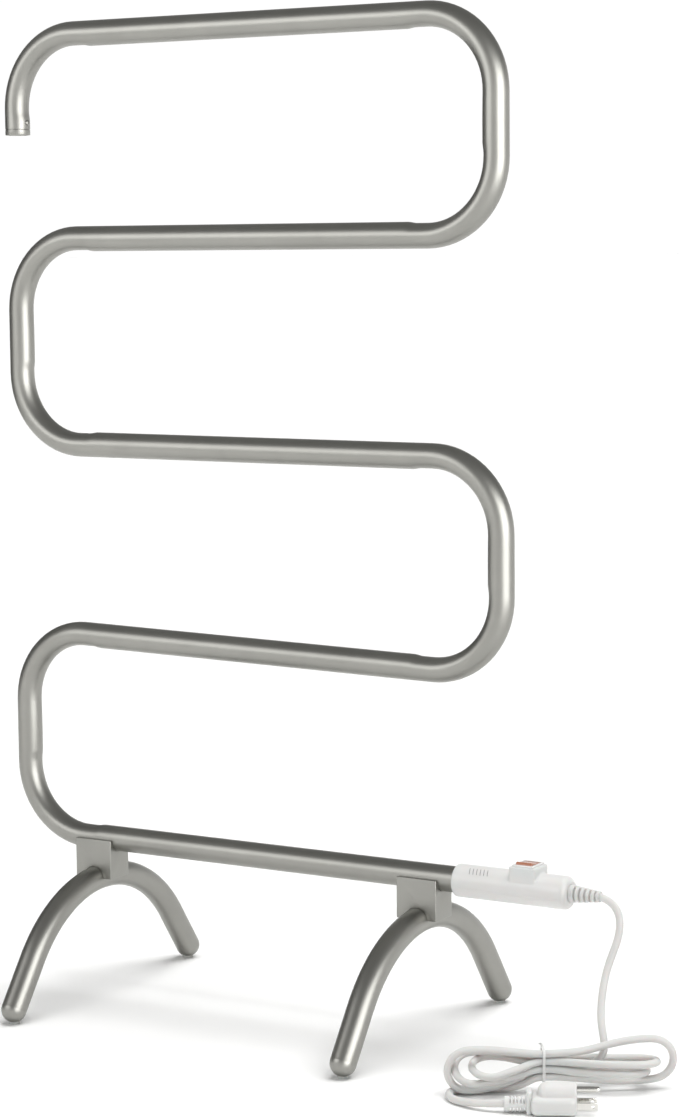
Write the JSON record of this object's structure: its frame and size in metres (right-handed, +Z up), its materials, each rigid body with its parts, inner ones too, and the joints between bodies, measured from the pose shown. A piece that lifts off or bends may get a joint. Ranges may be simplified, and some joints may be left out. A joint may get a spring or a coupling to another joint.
{
  "type": "towel warmer rack",
  "caption": "Freestanding electric towel warmer: one serpentine bent tube with stacked rails on two arched feet, a white control housing with a lit rocker, and a tied mains cord",
  "frame": {"origin": "on the floor, centred under the rack between the outside of its left run and the right end of the control housing, and between the front and rear feet", "axes": "+X runs along the rails towards the control housing, +Y towards the back, +Z up"},
  "size_m": [0.688, 0.3068, 0.8759],
  "materials": {
    "satin_nickel": "satin nickel plate, warm grey, softly brushed",
    "bright_steel": "bright zinc-plated steel",
    "dark_steel": "black oxide steel",
    "brass_parts": "plain brass",
    "plug_nickel": "nickel-plated brass prongs",
    "silicone_red": "silicone heating-cable jacket",
    "silicone_grey": "grey silicone and heat-shrink",
    "foot_rubber": "pale translucent rubber",
    "housing_white": "white moulded plastic, half gloss",
    "switch_white": "white switch bezel",
    "inner_plastic": "natural nylon",
    "rocker_amber": "translucent amber-red rocker",
    "lamp_glass": "small neon lamp",
    "wire_brown": "brown wire insulation",
    "wire_blue": "blue wire insulation",
    "wire_green": "green-yellow wire insulation",
    "cord_white": "soft white cord jacket, satin",
    "tie_white": "white coated wire tie",
    "plug_white": "white moulded plug"
  },
  "bodies": {
    "rack": {"frame_tube": "satin_nickel", "tube_end_cap": "satin_nickel", "end_cap_screw": "bright_steel", "heating_cable": "silicone_red", "heating_cable_seal": "silicone_grey", "cable_splice_sleeve": "silicone_grey", "left_saddle_block": "satin_nickel", "right_saddle_block": "satin_nickel", "left_foot_arch": "satin_nickel", "right_foot_arch": "satin_nickel", "front_left_foot_cap": "satin_nickel", "rear_left_foot_cap": "satin_nickel", "front_right_foot_cap": "satin_nickel", "rear_right_foot_cap": "satin_nickel", "front_left_foot_pad": "foot_rubber", "rear_left_foot_pad": "foot_rubber", "front_right_foot_pad": "foot_rubber", "rear_right_foot_pad": "foot_rubber", "foot_bolts": "dark_steel", "foot_washers": "bright_steel", "rail_rivet_nuts": "brass_parts", "housing_upper_shell": "housing_white", "housing_lower_shell": "housing_white", "housing_screws": "bright_steel", "tube_locator_ring": "inner_plastic", "switch_body": "switch_white", "switch_terminals": "plug_nickel", "neon_lamp": "lamp_glass", "thermal_cutout": "bright_steel", "live_wire": "wire_brown", "neutral_wire": "wire_blue", "earth_wire": "wire_green", "crimp_connectors": "silicone_grey", "earth_tag": "brass_parts", "earth_screw": "bright_steel", "cord_clamp": "inner_plastic", "cord_clamp_screws": "bright_steel", "strain_relief": "cord_white", "cord_drop": "cord_white", "cord_hank": "cord_white", "cord_tie": "tie_white", "cord_tail": "cord_white", "plug_body": "plug_white", "plug_blades": "plug_nickel", "plug_ground_pin": "plug_nickel"},
    "rocker": {"rocker": "rocker_amber", "switch_plunger": "inner_plastic", "switch_spring": "bright_steel"},
    "contact_blade": {"contact_blade": "brass_parts"}
  },
  "joints": [
    {"name": "rocker_tilt", "type": "hinge", "parent": "rack", "child": "rocker", "pos_m": [0.2441, 0, 0.1595], "axis": [1, 0, 0], "range_deg": [0, 18]},
    {"name": "contact_tilt", "type": "hinge", "parent": "rack", "child": "contact_blade", "pos_m": [0.2441, 0, 0.15175], "axis": [1, 0, 0], "range_deg": [-9, 0]}
  ],
  "couplings": [
    {"joint": "contact_tilt", "follows": "rocker_tilt", "ratio": -0.5}
  ]
}
